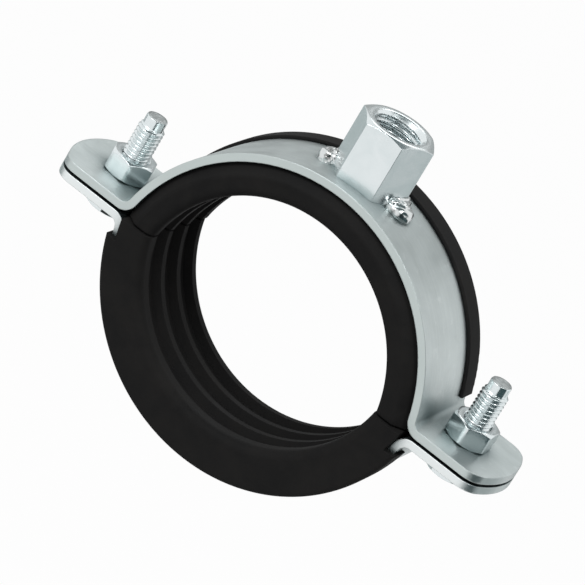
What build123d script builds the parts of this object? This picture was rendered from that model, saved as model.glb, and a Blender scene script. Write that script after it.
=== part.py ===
"""Rubber lined pipe clamp: two bolted half bands, a welded threaded socket and an EPDM lining.

Units are millimetres. The pipe runs along Y, the ears reach out along X, and the threaded socket
stands up along +Z. The origin is the centre of the pipe as the upper half seats it.

Each half band is an arc of the pipe's circle that stops short of a half circle, so a pipe keeps
the ears apart and the screws can pinch it. With no pipe the ears close, and the lower arc's
centre then lies above the origin by CLOSED_TRAVEL.
"""
import os
from math import cos, pi, radians, sqrt, tan

from build123d import *

# Half bands: strip steel bent to an arc with an ear at each end.
BAND_RADIUS = 31.5          # inner face of the strip
STRIP_THICKNESS = 1.5
STRIP_WIDTH = 20.0
BEND_RADIUS = 1.5           # inside of the bend between arc and ear
EAR_TIP_RADIUS = 17.5
CLOSED_TRAVEL = 8.6         # distance between the two arc centres with the ears closed
EAR_GAP = 0.6               # what is left between the closed ears

# Screws and nuts: M5 hexagon head screws and plain nuts.
SCREW_TO_BAND = 5.8         # from each screw's axis to the arc's outer face
SCREW_TO_TIP = 10.1         # from each screw's axis to the tip of the ear
SCREW_RADIUS = 2.5
SCREW_LENGTH = 16.0         # under the head
SCREW_POINT_RADIUS = 2.0
SCREW_POINT_LENGTH = 1.9
HEX_ACROSS_FLATS = 8.0
HEAD_HEIGHT = 3.5
NUT_HEIGHT = 4.0
EAR_HOLE_RADIUS = 2.75
NUT_BORE_CLEARANCE = 0.05   # radial, nut thread on screw thread
LEFT_NUT_TURN = -10.0       # degrees, how the nuts happen to stand
RIGHT_NUT_TURN = 33.0
LEFT_HEAD_TURN = 20.0
RIGHT_HEAD_TURN = 50.0

# Threaded socket on the crown of the upper band.
SOCKET_ACROSS_FLATS = 13.0
SOCKET_HEIGHT = 11.5
SOCKET_BORE_RADIUS = 4.25   # tapping size of M10
SOCKET_MOUTH_RADIUS = 5.0
SOCKET_TURN = 3.0           # degrees from a corner on the X axis

# Weld beads at the two ends of the socket.
WELD_LENGTH = 3.9           # half axes of the bead
WELD_WIDTH = 3.1
WELD_RISE = 3.0
WELD_OVERHANG = 1.9         # bead centre beyond the socket's corner

# Lining: an EPDM strip of C section with ribs on the pipe's side.
LINING_WALL = 6.0           # from the strip's inner face to the ribs' crests, which grip the pipe
LIP_THICKNESS = 0.6         # of the lip that hooks round the strip's edge
LIP_OVERLAP = 3.4           # of that lip over the strip's outer face
LIP_WALL = 1.6              # beyond the strip's edge on the lip's side
LIP_TO_EAR = 2.4            # from the lip's end to the face of the ear
BEAD_WALL = 0.9             # beyond the strip's edge on the other side
BEAD_SHARE = 0.36           # from the strip's inner face to that bead's crest, as a share of the wall
BEAD_SETBACK = 2.0          # how far the rubber falls back between the crest and the strip
GROOVE_COUNT = 3            # grooves that leave the ribs standing between them
GROOVE_PITCH = 5.9
GROOVE_WIDTH = 4.5
GROOVE_SHARE = 0.25         # depth of a groove, as a share of the lining's wall
GROOVE_LEAN = 0.8           # how far each side of a groove leans
RIM_SHARE = 0.28            # rounding of the lining's two inner corners, as a share of its wall
LINING_SEAT = 0.03          # between rubber and steel
LINING_END_GAP = 0.3        # between the linings of the two halves

HEX_CHAMFER_ANGLE = 30.0
HEX_FACE_SHARE = 0.97       # turned face of a hexagon, as a share of its flats
BAND_OUTER_RADIUS = BAND_RADIUS + STRIP_THICKNESS
SCREW_SPREAD = BAND_OUTER_RADIUS + SCREW_TO_BAND
EAR_REACH = SCREW_SPREAD + SCREW_TO_TIP
PIPE_RADIUS = BAND_RADIUS - LINING_WALL
GROOVE_DEPTH = GROOVE_SHARE * LINING_WALL
RIM_ROUNDING = RIM_SHARE * LINING_WALL
BEAD_DROP = BEAD_SHARE * LINING_WALL
PARTING_Z = CLOSED_TRAVEL / 2
EAR_FACE_Z = PARTING_Z + EAR_GAP / 2
EAR_BACK_Z = EAR_FACE_Z + STRIP_THICKNESS
STRIP_EDGE = STRIP_WIDTH / 2
FAR = 4 * EAR_REACH         # size of cutting blocks


def nearest_vertex(shape, x, y):
    """The vertex of a flat shape that lies nearest to a point."""
    return shape.vertices().sort_by_distance(Vector(x, y, 0))[0]


def band_section():
    """The bent strip seen along the pipe, drawn in a plane whose Y is the clamp's Z."""
    ring = Circle(BAND_OUTER_RADIUS) - Circle(BAND_RADIUS)
    arc = ring & (Pos(0, EAR_FACE_Z + FAR / 2) * Rectangle(FAR, FAR))
    ears = Pos(0, EAR_FACE_Z + STRIP_THICKNESS / 2) * Rectangle(2 * EAR_REACH, STRIP_THICKNESS)
    section = (arc + (ears - Circle(BAND_RADIUS))).clean()
    inner_x = sqrt(BAND_RADIUS ** 2 - EAR_FACE_Z ** 2)
    outer_x = sqrt(BAND_OUTER_RADIUS ** 2 - EAR_BACK_Z ** 2)
    for side in (-1, 1):
        section = fillet(nearest_vertex(section, side * inner_x, EAR_FACE_Z), BEND_RADIUS + STRIP_THICKNESS)
        section = fillet(nearest_vertex(section, side * outer_x, EAR_BACK_Z), BEND_RADIUS)
    return section


def ear_outline():
    """Plan of the strip with its ends rounded off."""
    tip_centre = EAR_REACH - EAR_TIP_RADIUS
    strip = Rectangle(2 * EAR_REACH, STRIP_WIDTH)
    round_ends = Rectangle(2 * tip_centre, STRIP_WIDTH)
    for side in (-1, 1):
        round_ends += Pos(side * tip_centre, 0) * Circle(EAR_TIP_RADIUS)
    return strip & round_ends


def make_band():
    """Upper half band, with its arc centred on the origin and its ears facing down."""
    band = extrude(Plane.XZ * band_section(), STRIP_WIDTH / 2, both=True)
    band &= extrude(ear_outline(), FAR, both=True)
    for side in (-1, 1):
        band -= Pos(side * SCREW_SPREAD, 0, EAR_FACE_Z) * Cylinder(EAR_HOLE_RADIUS, 4 * STRIP_THICKNESS)
    return band


def rib_grooves():
    """The grooves between the ribs, as flat shapes in the lining's section."""
    floor = PIPE_RADIUS + GROOVE_DEPTH
    mouth = PIPE_RADIUS - GROOVE_DEPTH
    half = GROOVE_WIDTH / 2
    groove = make_face(Polyline(
        (mouth, -half), (PIPE_RADIUS, -half), (floor, GROOVE_LEAN - half),
        (floor, half - GROOVE_LEAN), (PIPE_RADIUS, half), (mouth, half), close=True))
    middle = (GROOVE_COUNT - 1) / 2
    return [Pos(0, (index - middle) * GROOVE_PITCH) * groove for index in range(GROOVE_COUNT)]


def lining_section():
    """Half of the C section in a plane whose X is the radius and whose Y runs along the pipe."""
    seat = BAND_RADIUS - LINING_SEAT
    hook_inside = BAND_OUTER_RADIUS + LINING_SEAT
    hook_outside = hook_inside + LIP_THICKNESS
    lip_face = STRIP_EDGE + LIP_WALL
    bead_face = -STRIP_EDGE - BEAD_WALL
    hook_tip = STRIP_EDGE - LIP_OVERLAP
    edge = STRIP_EDGE + LINING_SEAT
    profile = make_face(Polyline(
        (PIPE_RADIUS, bead_face), (seat - BEAD_DROP, bead_face), (seat, bead_face + BEAD_SETBACK),
        (seat, edge), (hook_inside, edge), (hook_inside, hook_tip), (hook_outside, hook_tip),
        (hook_outside, lip_face), (PIPE_RADIUS, lip_face), close=True))
    profile = fillet(nearest_vertex(profile, PIPE_RADIUS, bead_face), RIM_ROUNDING)
    profile = fillet(nearest_vertex(profile, PIPE_RADIUS, lip_face), RIM_ROUNDING)
    profile = fillet(nearest_vertex(profile, seat - BEAD_DROP, bead_face), BEAD_DROP / 2)
    profile = fillet(nearest_vertex(profile, hook_outside, lip_face), LIP_WALL / 2)
    profile = fillet(nearest_vertex(profile, hook_outside, hook_tip), LIP_THICKNESS / 2)
    for groove in rib_grooves():
        profile -= groove
    return profile


def make_lining():
    """Lining of the upper half: its lip hooks round the strip's edge on the +Y side."""
    lining = revolve(lining_section(), Axis.Y, 360)
    end_z = PARTING_Z + LINING_END_GAP / 2
    lining &= Pos(0, 0, end_z + FAR / 2) * Box(FAR, FAR, FAR)
    lip_end_z = EAR_BACK_Z + LIP_TO_EAR
    below_lip = Pos(0, 0, lip_end_z - FAR / 2) * Box(FAR, FAR, FAR)
    inside = Rot(90, 0, 0) * Cylinder(BAND_RADIUS - LINING_SEAT, FAR)
    return lining - (below_lip - inside)


def to_lower_half(shape):
    """Turn an upper piece over about the X axis and set it against the closed ears."""
    return Pos(0, 0, CLOSED_TRAVEL) * Rot(180, 0, 0) * shape


def hex_prism(across_flats, height, turn, both_ends=False):
    """A hexagon bar standing on z = 0 with its corners turned down at the top, or at both ends."""
    corner_radius = across_flats / 2 / cos(pi / 6)
    face_radius = HEX_FACE_SHARE * across_flats / 2
    drop = (corner_radius - face_radius) * tan(radians(HEX_CHAMFER_ANGLE))
    foot = [(face_radius, 0), (corner_radius, drop)] if both_ends else [(corner_radius, 0)]
    outline = Polyline((0, 0), *foot, (corner_radius, height - drop), (face_radius, height), (0, height), close=True)
    turned = revolve(Plane.XZ * make_face(outline), Axis.Z, 360)
    return extrude(Rot(0, 0, turn) * RegularPolygon(corner_radius, 6), height) & turned


def make_socket():
    """Hexagonal socket on the crown, bored through for the suspension rod."""
    socket = hex_prism(SOCKET_ACROSS_FLATS, SOCKET_HEIGHT, SOCKET_TURN)
    countersink = SOCKET_MOUTH_RADIUS - SOCKET_BORE_RADIUS
    socket -= Pos(0, 0, SOCKET_HEIGHT / 2) * Cylinder(SOCKET_BORE_RADIUS, SOCKET_HEIGHT)
    socket -= Pos(0, 0, SOCKET_HEIGHT - countersink / 2) * Cone(
        SOCKET_BORE_RADIUS, SOCKET_MOUTH_RADIUS, countersink)
    return Pos(0, 0, BAND_OUTER_RADIUS) * socket


def make_weld(side):
    """Bead that fills the wedge between the socket's corner and the falling crown."""
    corner_radius = SOCKET_ACROSS_FLATS / 2 / cos(pi / 6)
    x = corner_radius + WELD_OVERHANG
    crown_z = sqrt(BAND_OUTER_RADIUS ** 2 - x ** 2)
    bead = scale(Sphere(1), by=(WELD_LENGTH, WELD_WIDTH, WELD_RISE))
    bead = Pos(side * x, 0, crown_z) * bead
    solid_socket = Pos(0, 0, BAND_OUTER_RADIUS) * hex_prism(SOCKET_ACROSS_FLATS, SOCKET_HEIGHT, SOCKET_TURN)
    bead -= solid_socket
    return bead - Rot(90, 0, 0) * Cylinder(BAND_OUTER_RADIUS, FAR)


def make_screw(turn):
    """Screw with its head's bearing face on z = 0 and its shank pointing up."""
    head = Rot(180, 0, 0) * hex_prism(HEX_ACROSS_FLATS, HEAD_HEIGHT, turn)
    slope = SCREW_RADIUS - SCREW_POINT_RADIUS
    shoulder = SCREW_LENGTH - SCREW_POINT_LENGTH
    outline = Polyline(
        (0, 0), (SCREW_RADIUS, 0), (SCREW_RADIUS, shoulder), (SCREW_POINT_RADIUS, shoulder + slope),
        (SCREW_POINT_RADIUS, SCREW_LENGTH), (0, SCREW_LENGTH), close=True)
    shank = revolve(Plane.XZ * make_face(outline), Axis.Z, 360)
    return head + shank


def make_nut(turn):
    """Plain nut standing on z = 0."""
    nut = hex_prism(HEX_ACROSS_FLATS, NUT_HEIGHT, turn, both_ends=True)
    return nut - Pos(0, 0, NUT_HEIGHT / 2) * Cylinder(SCREW_RADIUS + NUT_BORE_CLEARANCE, NUT_HEIGHT)


def build():
    """All the pieces by node name, in their places with the ears closed."""
    band = make_band()
    lining = make_lining()
    head_z = CLOSED_TRAVEL - EAR_BACK_Z
    return {
        "upper_band": band,
        "upper_lining": lining,
        "threaded_socket": make_socket(),
        "left_weld": make_weld(-1),
        "right_weld": make_weld(1),
        "lower_band": to_lower_half(band),
        "lower_lining": to_lower_half(lining),
        "left_screw": Pos(-SCREW_SPREAD, 0, head_z) * make_screw(LEFT_HEAD_TURN),
        "right_screw": Pos(SCREW_SPREAD, 0, head_z) * make_screw(RIGHT_HEAD_TURN),
        "left_nut": Pos(-SCREW_SPREAD, 0, EAR_BACK_Z) * make_nut(LEFT_NUT_TURN),
        "right_nut": Pos(SCREW_SPREAD, 0, EAR_BACK_Z) * make_nut(RIGHT_NUT_TURN),
    }


os.makedirs("parts", exist_ok=True)
for name, solid in build().items():
    export_step(solid, f"parts/{name}.step")
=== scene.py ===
"""Rubber lined pipe clamp: threads, weld beads, materials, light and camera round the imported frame."""
from math import atan2, ceil, cos, hypot, pi, radians, sin, sqrt, tan

import bmesh
import bpy
from mathutils import Matrix, Vector, noise


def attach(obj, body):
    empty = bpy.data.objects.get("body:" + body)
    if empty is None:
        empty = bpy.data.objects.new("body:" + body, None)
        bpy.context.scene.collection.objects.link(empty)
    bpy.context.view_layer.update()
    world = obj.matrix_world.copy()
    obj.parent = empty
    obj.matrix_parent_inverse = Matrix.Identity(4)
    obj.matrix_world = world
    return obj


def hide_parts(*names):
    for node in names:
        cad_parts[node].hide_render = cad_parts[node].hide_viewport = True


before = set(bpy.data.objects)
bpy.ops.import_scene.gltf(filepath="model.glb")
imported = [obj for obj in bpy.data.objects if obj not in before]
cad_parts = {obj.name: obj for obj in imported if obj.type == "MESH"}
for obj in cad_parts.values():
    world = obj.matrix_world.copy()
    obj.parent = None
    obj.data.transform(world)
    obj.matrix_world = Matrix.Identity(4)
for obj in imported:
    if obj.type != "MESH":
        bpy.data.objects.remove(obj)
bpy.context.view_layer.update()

MM = 0.001

# Sizes in millimetres, the same as the solids'.
SCREW_X = 38.8
SCREW_BEARING_Z = 2.5
SCREW_LENGTH = 16.0
SCREW_POINT_LENGTH = 1.9
SCREW_POINT_RADIUS = 2.0
SCREW_RADIUS = 2.5
HEAD_HEIGHT = 3.5
NUT_BASE_Z = 6.1
NUT_HEIGHT = 4.0
NUT_BORE_RADIUS = 2.55
HEX_ACROSS_FLATS = 8.0
HEX_FACE_SHARE = 0.97
HEX_CHAMFER_SLOPE = tan(radians(30))
SOCKET_ACROSS_FLATS = 13.0
SOCKET_BASE_Z = 33.0
SOCKET_HEIGHT = 11.5
SOCKET_CREST_RADIUS = 4.25
SOCKET_TURN = radians(3)
BAND_OUTER_RADIUS = 33.0
EAR_TIP_X = 48.9
EAR_TIP_RADIUS = 17.5
STRIP_EDGE = 10.0
CLOSED_TRAVEL = 8.6

# Sizes in millimetres of the forms that only the scene has.
SCREW_PITCH = 0.8
SCREW_ROOT_RADIUS = 2.08
SCREW_THREAD_START = 0.25   # above the head's bearing face
UNDERHEAD_FILLET = 0.2
SCREW_RUNOUT = 0.5          # last part of the thread, where the crests fall away
SCREW_RUNOUT_SLOPE = 0.9
# Rounded rim of the screw's point: how far in from its side, and how far below its end.
SCREW_POINT_RIM = ((0.0, 0.35), (0.12, 0.1), (0.4, 0.0), (0.9, 0.03))
SHEARED_DEPTH = 0.06        # what counts as the screw's sheared end face
WASHER_FACE = 0.25
HEAD_DISH_RADIUS = 3.3
HEAD_DISH_SLOPE = 0.3
HEAD_DISH_DEPTH = 0.2
NUT_MOUTH_RADIUS = 2.9
NUT_THREAD_DEPTH = 0.3
SOCKET_PITCH = 1.5
SOCKET_ROOT_RADIUS = 5.0
SOCKET_MOUTH_RADIUS = 5.15
MOUTH_CLEARANCE = 0.08      # between a hole's mouth and the first ring of its thread
THREAD_FLAT_SHARE = 0.14    # of half the pitch, flat at the root and again at the crest
EAR_CORNER_RADIUS = 4.0
EAR_CORNER_FACETS = 9
WELD_LUMPINESS = 0.08

# Fineness of the meshes: heights between thread rings, in millimetres, and points on a ring.
SCREW_THREAD_STEP = 0.07
BORE_THREAD_STEP = 0.1
FASTENER_SEGMENTS = 60
SOCKET_SEGMENTS = 96

STRIP_TURN_RADIUS = 32.2 * MM   # turns an angle on the strip into a length along it
LEFT, RIGHT = -1, 1


# ---------------------------------------------------------------- meshes

def side_name(side):
    return "left" if side == LEFT else "right"


def finish_mesh(name, mesh, body, replaced=(), sharp_degrees=32):
    """Make the object, smooth it up to a crease angle and tie it to its body."""
    mesh.shade_smooth()
    mesh.set_sharp_from_angle(angle=radians(sharp_degrees))
    piece = bpy.data.objects.new(name, mesh)
    bpy.context.collection.objects.link(piece)
    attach(piece, body)
    if replaced:
        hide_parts(*replaced)
    return piece


def mesh_from(bm, name):
    mesh = bpy.data.meshes.new(name)
    bm.to_mesh(mesh)
    bm.free()
    return mesh


def lathe(name, rings, segments, centre, loop):
    """Mesh of rings, each a function of the angle that gives radius and height in millimetres.

    A loop of rings closes on itself, and otherwise the two end rings are capped.
    """
    bm = bmesh.new()
    grid = []
    for ring in rings:
        row = []
        for step in range(segments):
            angle = 2 * pi * step / segments
            radius, height = ring(angle)
            row.append(bm.verts.new((
                (centre[0] + radius * cos(angle)) * MM,
                (centre[1] + radius * sin(angle)) * MM,
                (centre[2] + height) * MM)))
        grid.append(row)
    pairs = list(zip(grid, grid[1:]))
    if loop:
        pairs.append((grid[-1], grid[0]))
    for lower, upper in pairs:
        for step in range(segments):
            after = (step + 1) % segments
            bm.faces.new((lower[step], lower[after], upper[after], upper[step]))
    if not loop:
        for row in (grid[0], grid[-1]):
            middle = sum((vert.co for vert in row), Vector()) / segments
            hub = bm.verts.new(middle)
            for step in range(segments):
                bm.faces.new((row[step], row[(step + 1) % segments], hub))
    bmesh.ops.recalc_face_normals(bm, faces=bm.faces)
    return mesh_from(bm, name)


def round_ring(radius, height):
    return lambda angle: (radius, height)


def hex_radius(across_flats, turn):
    """Distance from the axis to a hexagon's side, as a function of the angle."""
    sixth = pi / 3

    def radius(angle):
        return across_flats / 2 / cos((angle - turn) % sixth - sixth / 2)
    return radius


def hex_end_rings(across_flats, turn, face_z, direction, inner_radius):
    """Rings from a hexagon's wall over its turned chamfer to a hole's rim in its end face."""
    wall = hex_radius(across_flats, turn)
    face_radius = HEX_FACE_SHARE * across_flats / 2
    rim_width, rim_depth = 0.12, 0.05
    steps = 5

    def chamfer(share):
        def ring(angle):
            radius = face_radius + (wall(angle) - face_radius) * share
            return radius, face_z - direction * (radius - face_radius) * HEX_CHAMFER_SLOPE
        return ring

    return [
        *(chamfer(1 - step / steps) for step in range(steps)),
        round_ring(face_radius, face_z),
        round_ring(inner_radius + rim_width, face_z),
        round_ring(inner_radius, face_z - direction * rim_depth)]


def thread_share(angle, height, pitch):
    """0 at a thread's root and 1 at its crest, with flats at both."""
    phase = (height / pitch - angle / (2 * pi)) % 1.0
    ramp = abs(2 * phase - 1)
    return min(1.0, max(0.0, (ramp - THREAD_FLAT_SHARE) / (1 - 2 * THREAD_FLAT_SHARE)))


def thread_ring(height, pitch, root, crest, limit, inside):
    """One ring across a thread. Limit is a cone that the thread's crests are turned down to."""
    def ring(angle):
        radius = root + (crest - root) * thread_share(angle, height, pitch)
        edge = limit(height)
        return (max(radius, edge) if inside else min(radius, edge)), height
    return ring


def levels(start, end, step):
    """Evenly spaced heights from start to end."""
    count = ceil(abs(end - start) / step)
    return [start + (end - start) * index / count for index in range(count + 1)]


def make_screw(side, turn):
    """Hexagon head with a threaded shank that ends in a turned-down point."""
    name = side_name(side) + "_screw"
    face_radius = HEX_FACE_SHARE * HEX_ACROSS_FLATS / 2
    shoulder = SCREW_LENGTH - SCREW_POINT_LENGTH
    runout_start = shoulder - SCREW_RUNOUT

    def limit(height):
        return SCREW_RADIUS - max(0.0, height - runout_start) * SCREW_RUNOUT_SLOPE

    head = hex_end_rings(HEX_ACROSS_FLATS, turn, -HEAD_HEIGHT, -1, HEAD_DISH_RADIUS)
    wall = hex_radius(HEX_ACROSS_FLATS, turn)
    rings = [
        round_ring(HEAD_DISH_RADIUS - HEAD_DISH_SLOPE, -HEAD_HEIGHT + HEAD_DISH_DEPTH),
        round_ring(HEAD_DISH_RADIUS, -HEAD_HEIGHT),
        *head[:-2][::-1],
        lambda angle: (wall(angle), -WASHER_FACE),
        round_ring(face_radius, -WASHER_FACE),
        round_ring(face_radius, 0),
        round_ring(SCREW_RADIUS + UNDERHEAD_FILLET, 0)]
    rings += [
        thread_ring(height, SCREW_PITCH, SCREW_ROOT_RADIUS, SCREW_RADIUS, limit, inside=False)
        for height in levels(SCREW_THREAD_START, shoulder, SCREW_THREAD_STEP)]
    rings.append(round_ring(SCREW_POINT_RADIUS, shoulder + 0.1))
    rings += [
        round_ring(SCREW_POINT_RADIUS - inset, SCREW_LENGTH - depth)
        for inset, depth in SCREW_POINT_RIM]
    mesh = lathe(name, rings, FASTENER_SEGMENTS, (side * SCREW_X, 0, SCREW_BEARING_Z), loop=False)
    return finish_mesh(name + "_threaded", mesh, side_name(side) + "_bolt", (name,))


def make_nut(side, turn):
    """Plain nut, turned at both ends, with its thread seen at the mouth."""
    name = side_name(side) + "_nut"

    def limit(height):
        return max(NUT_BORE_RADIUS, NUT_MOUTH_RADIUS - min(height, NUT_HEIGHT - height))

    rings = hex_end_rings(HEX_ACROSS_FLATS, turn, 0, -1, NUT_MOUTH_RADIUS)[::-1]
    rings += hex_end_rings(HEX_ACROSS_FLATS, turn, NUT_HEIGHT, 1, NUT_MOUTH_RADIUS)
    root = NUT_BORE_RADIUS + NUT_THREAD_DEPTH
    rings += [
        thread_ring(height, SCREW_PITCH, root, NUT_BORE_RADIUS, limit, inside=True)
        for height in levels(NUT_HEIGHT - MOUTH_CLEARANCE, MOUTH_CLEARANCE, BORE_THREAD_STEP)]
    mesh = lathe(name, rings, FASTENER_SEGMENTS, (side * SCREW_X, 0, NUT_BASE_Z), loop=True)
    return finish_mesh(name + "_detailed", mesh, side_name(side) + "_lock", (name,))


def crown_drop(x):
    """Height of the band's outer face over its crown, so 0 or less, at a distance from the middle."""
    return sqrt(BAND_OUTER_RADIUS ** 2 - x ** 2) - BAND_OUTER_RADIUS


def make_socket(turn):
    """Threaded socket with a turned top edge, a countersunk bore and a foot that fits the crown."""
    wall = hex_radius(SOCKET_ACROSS_FLATS, turn)

    def limit(height):
        return max(SOCKET_CREST_RADIUS, SOCKET_MOUTH_RADIUS - (SOCKET_HEIGHT - height))

    def foot(radius):
        return lambda angle: (radius(angle), crown_drop(radius(angle) * cos(angle)))

    rings = [foot(wall)]
    rings += hex_end_rings(SOCKET_ACROSS_FLATS, turn, SOCKET_HEIGHT, 1, SOCKET_MOUTH_RADIUS)
    rings += [
        thread_ring(height, SOCKET_PITCH, SOCKET_ROOT_RADIUS, SOCKET_CREST_RADIUS, limit, inside=True)
        for height in levels(SOCKET_HEIGHT - MOUTH_CLEARANCE, 0.0, BORE_THREAD_STEP)]
    rings.append(foot(lambda angle: SOCKET_CREST_RADIUS))
    mesh = lathe("socket", rings, SOCKET_SEGMENTS, (0, 0, SOCKET_BASE_Z), loop=True)
    return finish_mesh("socket_threaded", mesh, "upper_half", ("threaded_socket",))


def weld_blob(bm, centre, size, seed, ripples):
    """One lump of weld metal: a ball pushed in and out by noise, with rings where it froze.

    What would lie inside the band or the socket is pressed flat against its surface.
    """
    made = bmesh.ops.create_icosphere(bm, subdivisions=6, radius=1.0)
    offset = Vector((seed * 3.1, seed * 1.7, seed * 2.3))
    wall = hex_radius(SOCKET_ACROSS_FLATS, SOCKET_TURN)
    for vert in made["verts"]:
        direction = vert.co.normalized()
        swell = 1 + WELD_LUMPINESS * noise.fractal(direction * 0.9 + offset, 0.9, 2.0, 3)
        tilted = Vector((direction.x + 0.25, direction.y - 0.2, 0)).length
        swell += ripples * sin(tilted * 19 + 2 * noise.noise(direction * 1.3 + offset))
        place = Vector(centre) + Vector((
            direction.x * size[0], direction.y * size[1], direction.z * size[2])) * swell
        out = hypot(place.x, place.y)
        nearest = wall(atan2(place.y, place.x))
        if out < nearest:
            place.x *= nearest / out
            place.y *= nearest / out
        depth = hypot(place.x, place.z)
        if depth < BAND_OUTER_RADIUS:
            place.x *= BAND_OUTER_RADIUS / depth
            place.z *= BAND_OUTER_RADIUS / depth
        vert.co = place


def make_weld(side):
    """The bead between the socket's corner and the falling crown, with a collar up the corner."""
    name = side_name(side) + "_weld"
    reach = 2.4 if side == LEFT else 2.9
    bm = bmesh.new()
    weld_blob(bm, centre=(side * 7.5, -0.8, 32.1), size=(reach, 2.7, 2.2), seed=3 + side, ripples=0.02)
    weld_blob(bm, centre=(side * 6.6, 0.3, 32.8), size=(1.8, 3.3, 2.0), seed=8 + side, ripples=0.03)
    for vert in bm.verts:
        vert.co *= MM
    return finish_mesh(
        name + "_bead", mesh_from(bm, name), "upper_half", (name,), sharp_degrees=180)


def make_band(node, body):
    """The node's own mesh with the four corners of its ears rounded off."""
    bm = bmesh.new()
    bm.from_mesh(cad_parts[node].data)
    bmesh.ops.remove_doubles(bm, verts=bm.verts, dist=1e-6)
    tip_x = EAR_TIP_X - EAR_TIP_RADIUS
    corner_y = STRIP_EDGE - EAR_CORNER_RADIUS
    corner_x = tip_x + sqrt((EAR_TIP_RADIUS - EAR_CORNER_RADIUS) ** 2 - corner_y ** 2)
    start = atan2(corner_y, corner_x - tip_x)
    corners = [(-1, -1), (-1, 1), (1, -1), (1, 1)]
    for facet in range(EAR_CORNER_FACETS):
        angle = start + (pi / 2 - start) * (facet + 0.5) / EAR_CORNER_FACETS
        for x_sign, y_sign in corners:
            outward = Vector((x_sign * cos(angle), y_sign * sin(angle), 0))
            middle = Vector((x_sign * corner_x, y_sign * corner_y, 0))
            cut = bmesh.ops.bisect_plane(
                bm, geom=bm.verts[:] + bm.edges[:] + bm.faces[:], dist=1e-7,
                plane_co=(middle + outward * EAR_CORNER_RADIUS) * MM, plane_no=outward, clear_outer=True)
            rim = [item for item in cut["geom_cut"] if isinstance(item, bmesh.types.BMEdge)]
            bmesh.ops.holes_fill(bm, edges=rim)
    bmesh.ops.recalc_face_normals(bm, faces=bm.faces)
    mesh = mesh_from(bm, node)
    if "custom_normal" in mesh.attributes:
        mesh.attributes.remove(mesh.attributes["custom_normal"])
    return finish_mesh(node + "_rounded", mesh, body, (node,))


# ---------------------------------------------------------------- materials

class Graph:
    """A material's or world's nodes, added and joined in few words."""

    def __init__(self, tree):
        self.tree = tree
        tree.nodes.clear()

    def add(self, kind, sockets=None, **settings):
        node = self.tree.nodes.new(kind)
        for key, value in settings.items():
            setattr(node, key, value)
        for key, value in (sockets or {}).items():
            if isinstance(value, bpy.types.NodeSocket):
                self.tree.links.new(value, node.inputs[key])
            else:
                node.inputs[key].default_value = value
        return node

    def coordinate(self, kind):
        return self.add("ShaderNodeTexCoord").outputs[kind]

    def math(self, operation, first, second=0.0):
        return self.add("ShaderNodeMath", {0: first, 1: second}, operation=operation).outputs[0]

    def weighted(self, first, share, second):
        """The first value's share and the rest of the second value."""
        parts = self.math("MULTIPLY", first, share), self.math("MULTIPLY", second, 1 - share)
        return self.math("ADD", *parts)

    def noise(self, vector, scale, detail=4.0, roughness=0.55, distortion=0.0):
        return self.add("ShaderNodeTexNoise", {
            "Vector": vector, "Scale": scale, "Detail": detail,
            "Roughness": roughness, "Distortion": distortion}).outputs["Fac"]

    def ramp(self, value, low, high, to_low=0.0, to_high=1.0):
        return self.add("ShaderNodeMapRange", {
            "Value": value, "From Min": low, "From Max": high,
            "To Min": to_low, "To Max": to_high}, clamp=True).outputs["Result"]

    def blend(self, share, first, second):
        """Mix of two colours, by the mix node's colour sockets."""
        node = self.add("ShaderNodeMix", {0: share, 6: first, 7: second}, data_type="RGBA")
        return node.outputs[2]

    def soft_edge(self, radius):
        return self.add("ShaderNodeBevel", {"Radius": radius}, samples=6).outputs[0]

    def bump(self, height, strength, distance, normal=None):
        sockets = {"Height": height, "Strength": strength, "Distance": distance}
        if normal is not None:
            sockets["Normal"] = normal
        return self.add("ShaderNodeBump", sockets).outputs["Normal"]

    def glow(self, shade):
        return self.add("ShaderNodeEmission", {"Color": shade, "Strength": 1.0}).outputs[0]

    def finish(self, sockets):
        shader = self.add("ShaderNodeBsdfPrincipled", sockets)
        self.add("ShaderNodeOutputMaterial", {"Surface": shader.outputs[0]})

    def finish_metal(self, base, rough, normal):
        self.finish({"Base Color": base, "Metallic": 1.0, "Roughness": rough, "Normal": normal})


def new_material(name):
    material = bpy.data.materials.new(name)
    material.use_nodes = True
    return material, Graph(material.node_tree)


def colour(red, green, blue):
    return (red, green, blue, 1.0)


def strip_coordinates(graph, origin_z):
    """The place, and a vector of length along the bent strip, distance across it and height."""
    place = graph.coordinate("Object")
    x, y, z = graph.add("ShaderNodeSeparateXYZ", {0: place}).outputs
    raised = graph.math("SUBTRACT", z, origin_z)
    angle = graph.math("ARCTAN2", x, raised)
    along = graph.math("MULTIPLY", angle, STRIP_TURN_RADIUS)
    return place, graph.add("ShaderNodeCombineXYZ", {0: along, 1: y, 2: raised}).outputs[0]


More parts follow.
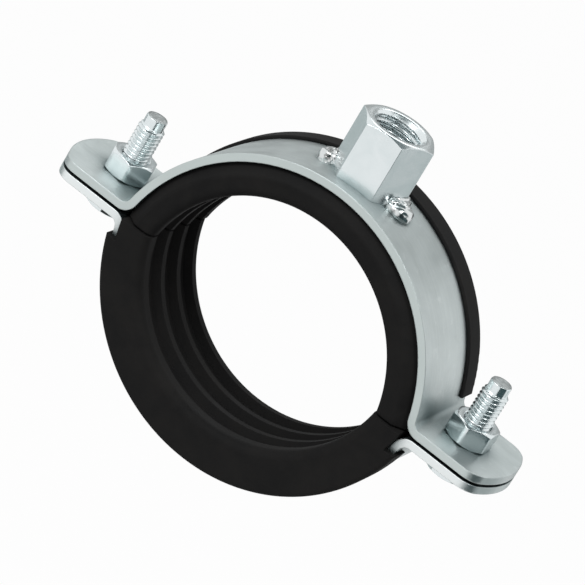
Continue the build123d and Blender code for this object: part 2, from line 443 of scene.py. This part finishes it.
def zinc_strip(name, origin_z, edge_highlight_tint):
    """Satin zinc plate on rolled strip: rolling lines, cloudy patches, a painted highlight on the cut
    edges, and painted shade where parts close in.
    """
    material, graph = new_material(name)
    place, unrolled = strip_coordinates(graph, origin_z)
    stretched = graph.add(
        "ShaderNodeMapping", {"Vector": unrolled, "Scale": (60.0, 2600.0, 60.0)}).outputs[0]
    lines = graph.noise(stretched, 1.0, 3.0, 0.6)
    clouds = graph.noise(place, 120.0, 4.0, 0.55, 0.4)
    grain = graph.noise(place, 2600.0, 3.0, 0.6)
    spots = graph.ramp(graph.noise(place, 520.0, 2.0, 0.5), 0.62, 0.74)
    tone = graph.weighted(clouds, 0.75, lines)
    base = graph.blend(
        graph.ramp(tone, 0.38, 0.62), colour(0.49, 0.540, 0.538), colour(0.58, 0.632, 0.630))
    base = graph.blend(graph.math("MULTIPLY", spots, 0.22), base, colour(0.78, 0.81, 0.81))
    # Painted highlight: faces that look along Y, the strip's cut edges, take a lighter colour.
    facing = graph.add("ShaderNodeSeparateXYZ", {0: graph.coordinate("Normal")})
    slit_edge_highlight = graph.ramp(graph.math("ABSOLUTE", facing.outputs[1]), 0.75, 0.95)
    base = graph.blend(slit_edge_highlight, base, edge_highlight_tint)
    # Painted shade: the base colour turns dark teal where the ambient occlusion finds nearby surfaces,
    # at contacts, at bends and round the nuts.
    open_share = graph.add("ShaderNodeAmbientOcclusion", {"Distance": 0.006}, samples=8).outputs["AO"]
    painted_shade_share = graph.ramp(open_share, 0.45, 0.94, 0.78, 0.0)
    base = graph.blend(painted_shade_share, base, colour(0.10, 0.145, 0.15))
    rough = graph.ramp(graph.weighted(clouds, 0.6, grain), 0.3, 0.7, 0.34, 0.50)
    normal = graph.bump(lines, 0.10, 0.00006, graph.soft_edge(0.00028))
    normal = graph.bump(grain, 0.10, 0.00005, normal)
    graph.finish_metal(base, rough, normal)
    return material


def zinc_hardware():
    """Bright zinc on turned and forged fasteners: glossy, slightly blue, a little uneven."""
    material, graph = new_material("bright_zinc")
    place = graph.coordinate("Object")
    clouds = graph.noise(place, 260.0, 4.0, 0.55, 0.5)
    grain = graph.noise(place, 3200.0, 3.0, 0.6)
    base = graph.blend(
        graph.ramp(clouds, 0.35, 0.65), colour(0.72, 0.780, 0.790), colour(0.78, 0.83, 0.84))
    rough = graph.ramp(clouds, 0.3, 0.7, 0.17, 0.26)
    normal = graph.bump(clouds, 0.08, 0.00015, graph.soft_edge(0.00016))
    normal = graph.bump(grain, 0.08, 0.00004, normal)
    graph.finish_metal(base, rough, normal)
    return material


def sheared_steel():
    """Rough grey end of a screw's point."""
    material, graph = new_material("sheared_end")
    grain = graph.noise(graph.coordinate("Object"), 1500.0, 4.0, 0.65)
    base = graph.blend(
        graph.ramp(grain, 0.35, 0.65), colour(0.26, 0.28, 0.28), colour(0.46, 0.49, 0.49))
    graph.finish_metal(base, 0.42, graph.bump(grain, 0.45, 0.00008))
    return material


def weld_metal():
    """Plated weld bead: shiny ripples with dark specks where soot was left."""
    material, graph = new_material("weld_metal")
    place = graph.coordinate("Object")
    lumps = graph.noise(place, 450.0, 3.0, 0.5, 0.8)
    specks = graph.ramp(graph.noise(place, 380.0, 3.0, 0.6), 0.54, 0.62)
    base = graph.blend(
        graph.math("MULTIPLY", specks, 0.75), colour(0.70, 0.73, 0.73), colour(0.12, 0.12, 0.115))
    rough = graph.ramp(lumps, 0.3, 0.7, 0.10, 0.26)
    graph.finish_metal(base, rough, graph.bump(lumps, 0.06, 0.0003))
    return material


def rubber():
    """Moulded EPDM: near black, fine grained, with a faint dusty bloom."""
    material, graph = new_material("epdm")
    place = graph.coordinate("Object")
    clouds = graph.noise(place, 150.0, 5.0, 0.6, 0.3)
    grain = graph.noise(place, 4200.0, 3.0, 0.65)
    pores = graph.ramp(graph.noise(place, 1900.0, 2.0, 0.5), 0.66, 0.76)
    base = graph.blend(
        graph.ramp(clouds, 0.35, 0.7), colour(0.0135, 0.0135, 0.0137), colour(0.0215, 0.0208, 0.0202))
    rough = graph.ramp(clouds, 0.3, 0.7, 0.60, 0.75)
    normal = graph.bump(grain, 0.22, 0.00006, graph.soft_edge(0.00022))
    normal = graph.bump(pores, 0.20, -0.00005, normal)
    graph.finish({
        "Base Color": base, "Roughness": rough, "Normal": normal, "Specular IOR Level": 0.07})
    return material


def paint_node(node, material):
    """Give a CAD node's object this material only."""
    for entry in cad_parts[node].material_slots:
        entry.material = material


# ---------------------------------------------------------------- the clamp

bright = zinc_hardware()
sheared = sheared_steel()
screws = [make_screw(LEFT, radians(-20)), make_screw(RIGHT, radians(-50))]
nuts = [make_nut(LEFT, radians(-10)), make_nut(RIGHT, radians(33))]
for piece in [*screws, *nuts, make_socket(SOCKET_TURN)]:
    piece.data.materials.append(bright)
for screw in screws:
    screw.data.materials.append(sheared)
    for face in screw.data.polygons:
        if face.center.z > (SCREW_BEARING_Z + SCREW_LENGTH - SHEARED_DEPTH) * MM:
            face.material_index = 1
bead = weld_metal()
for side in (LEFT, RIGHT):
    make_weld(side).data.materials.append(bead)

epdm = rubber()
paint_node("upper_lining", epdm)
paint_node("lower_lining", epdm)
# Last argument: colour of the painted highlight on each band's cut edges, much lighter on the lower
# band.
upper_zinc = zinc_strip("satin_zinc_upper", 0.0, colour(0.56, 0.62, 0.61))
lower_zinc = zinc_strip("satin_zinc_lower", CLOSED_TRAVEL * MM, colour(0.84, 0.88, 0.88))
make_band("upper_band", "upper_half").data.materials.append(upper_zinc)
make_band("lower_band", "lower_half").data.materials.append(lower_zinc)


# ---------------------------------------------------------------- studio

def screened(graph, share):
    """The share for camera, glossy and transmission rays, and 0 for all others."""
    rays = graph.add("ShaderNodeLightPath").outputs
    seen = graph.math("MAXIMUM", rays["Is Camera Ray"], rays["Is Glossy Ray"])
    seen = graph.math("MAXIMUM", seen, rays["Is Transmission Ray"])
    return graph.math("MULTIPLY", seen, share)


def rectangle(name, width, height, z=0.0):
    """Flat object of one face round the Z axis, with its mesh and no material."""
    x, y = width / 2, height / 2
    mesh = bpy.data.meshes.new(name)
    mesh.from_pydata([(-x, -y, z), (x, -y, z), (x, y, z), (-x, y, z)], [], [(0, 1, 2, 3)])
    flat = bpy.data.objects.new(name, mesh)
    bpy.context.collection.objects.link(flat)
    return flat


def make_floor():
    """Pale floor below the hanging clamp."""
    floor = rectangle("floor", 8.0, 8.0, -0.45)
    material, graph = new_material("pale_floor")
    matt = graph.add("ShaderNodeBsdfDiffuse", {"Color": colour(0.86, 0.86, 0.86)}).outputs[0]
    both = graph.add("ShaderNodeMixShader", {
        0: screened(graph, 0.97), 1: matt, 2: graph.glow(colour(1, 1, 1))})
    graph.add("ShaderNodeOutputMaterial", {"Surface": both.outputs[0]})
    floor.data.materials.append(material)


def facing_clamp(place):
    """Matrix of a lamp or card at this place that faces the clamp's middle."""
    back = Vector(place).normalized()
    right = Vector((0, 0, 1)).cross(back).normalized()
    turned = Matrix((right, back.cross(right), back)).transposed()
    return Matrix.Translation(place) @ turned.to_4x4()


def make_card(name, place, width, height, shade):
    """Card that the metal mirrors. The camera doesn't see it, and it casts no shadow."""
    card = rectangle(name, width, height)
    card.matrix_world = facing_clamp(place)
    card.visible_camera = False
    card.visible_shadow = False
    card.visible_diffuse = False
    material, graph = new_material(name)
    graph.add("ShaderNodeOutputMaterial", {"Surface": graph.glow(colour(*shade))})
    card.data.materials.append(material)


def make_lamp(name, place, size, watts):
    lamp = bpy.data.lights.new(name, "AREA")
    lamp.size = size
    lamp.energy = watts
    holder = bpy.data.objects.new(name, lamp)
    holder.matrix_world = facing_clamp(place)
    bpy.context.collection.objects.link(holder)


def make_world():
    """White in the picture and in reflections, and a dimmer grey as a source of light."""
    world = bpy.data.worlds.new("studio")
    bpy.context.scene.world = world
    world.use_nodes = True
    graph = Graph(world.node_tree)
    shade = graph.blend(screened(graph, 1.0), colour(0.35, 0.35, 0.35), colour(1, 1, 1))
    background = graph.add("ShaderNodeBackground", {"Color": shade, "Strength": 1.0})
    graph.add("ShaderNodeOutputWorld", {"Surface": background.outputs[0]})


def make_camera():
    """Camera fitted to the outlines of the real clamp."""
    focal_pixels, image_pixels, sensor = 4626.6, 585.0, 36.0
    right = Vector((0.760973, 0.445396, 0.471744)).normalized()
    up = Vector((-0.590762, 0.175134, 0.787609))
    up = (up - right * up.dot(right)).normalized()
    lens = bpy.data.cameras.new("camera")
    lens.sensor_width = sensor
    lens.lens = focal_pixels * sensor / image_pixels
    lens.clip_start, lens.clip_end = 0.01, 20.0
    camera = bpy.data.objects.new("camera", lens)
    turned = Matrix((right, up, right.cross(up))).transposed().to_4x4()
    camera.matrix_world = Matrix.Translation((0.21331, -0.70292, 0.32508)) @ turned
    bpy.context.collection.objects.link(camera)
    bpy.context.scene.camera = camera


make_floor()
make_world()
make_card("card_back", (-0.115, 0.55, 0.06), 0.67, 0.80, (0.40, 0.412, 0.412))
make_card("card_right", (0.40, -0.21, 0.0), 0.60, 0.80, (0.055, 0.085, 0.090))
make_card("card_right_back", (0.40, 0.22, -0.20), 0.26, 0.36, (0.52, 0.56, 0.56))
make_card("card_left_back", (-0.37, 0.26, -0.19), 0.32, 0.36, (0.48, 0.53, 0.53))
make_card("card_left", (-0.45, 0.05, -0.19), 0.10, 0.36, (0.08, 0.12, 0.125))
make_card("card_top", (0.03, -0.02, 0.60), 0.56, 0.56, (0.13, 0.165, 0.17))
make_lamp("key", (-0.35, -0.55, 0.75), 0.45, 3.0)
make_lamp("fill", (0.45, -0.28, 0.78), 0.4, 2.0)
make_lamp("back", (-0.2, 0.75, 0.6), 0.5, 1.5)
make_camera()
bpy.context.scene.view_settings.view_transform = "Standard"
